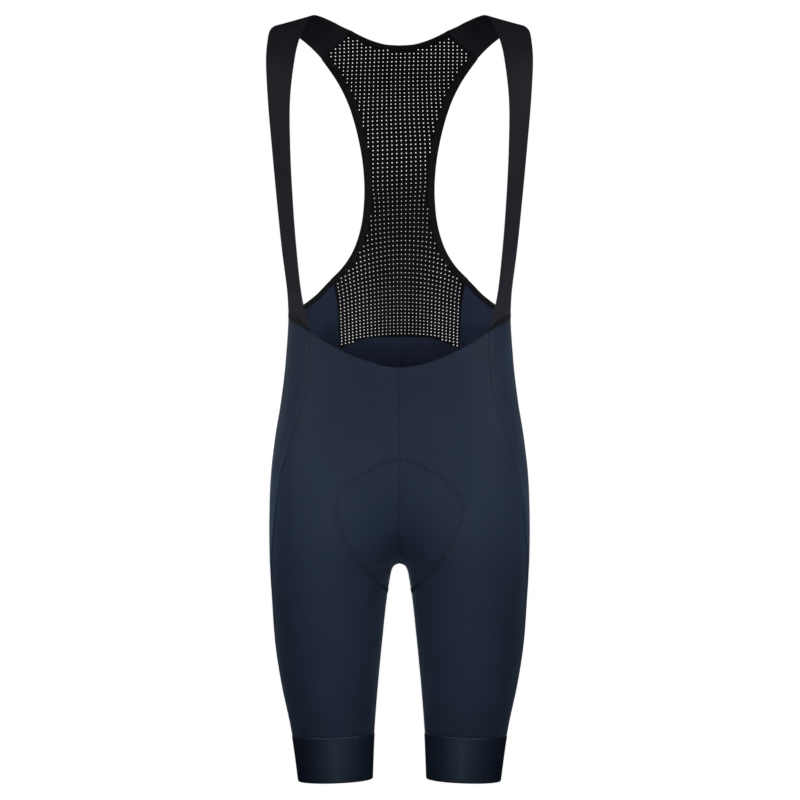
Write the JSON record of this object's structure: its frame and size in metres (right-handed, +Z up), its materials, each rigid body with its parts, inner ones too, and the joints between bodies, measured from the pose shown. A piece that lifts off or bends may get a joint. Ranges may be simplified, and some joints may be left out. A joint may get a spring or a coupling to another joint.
{
  "type": "cycling bib shorts",
  "caption": "Close-fitting cycling shorts in their worn, hollow shape, with shoulder straps, a perforated racer back, leg grippers and a seat pad.",
  "frame": {"origin": "midway between the two places where the straps rest on the wearer's shoulders", "axes": "+Z up, the front of the garment faces -Y, +X to the wearer's left"},
  "size_m": [0.312, 0.205, 0.904],
  "materials": {
    "navy_knit": "smooth stretch knit with a faint sheen",
    "navy_gripper": "denser and a little glossier stretch band",
    "black_strap": "matte flat elastic",
    "black_binding": "matte folded elastic",
    "black_mesh": "matte perforated knit",
    "pad_foam": "brushed foam-backed knit"
  },
  "bodies": {
    "root": {"front_left": "navy_knit", "front_right": "navy_knit", "side_left": "navy_knit", "side_right": "navy_knit", "seat_left": "navy_knit", "seat_right": "navy_knit", "cuff_left": "navy_gripper", "cuff_right": "navy_gripper", "strap_left": "black_strap", "strap_right": "black_strap", "binding_arm_left": "black_binding", "binding_arm_right": "black_binding", "binding_neck": "black_binding", "mesh_back": "black_mesh", "pad": "pad_foam"}
  },
  "joints": []
}
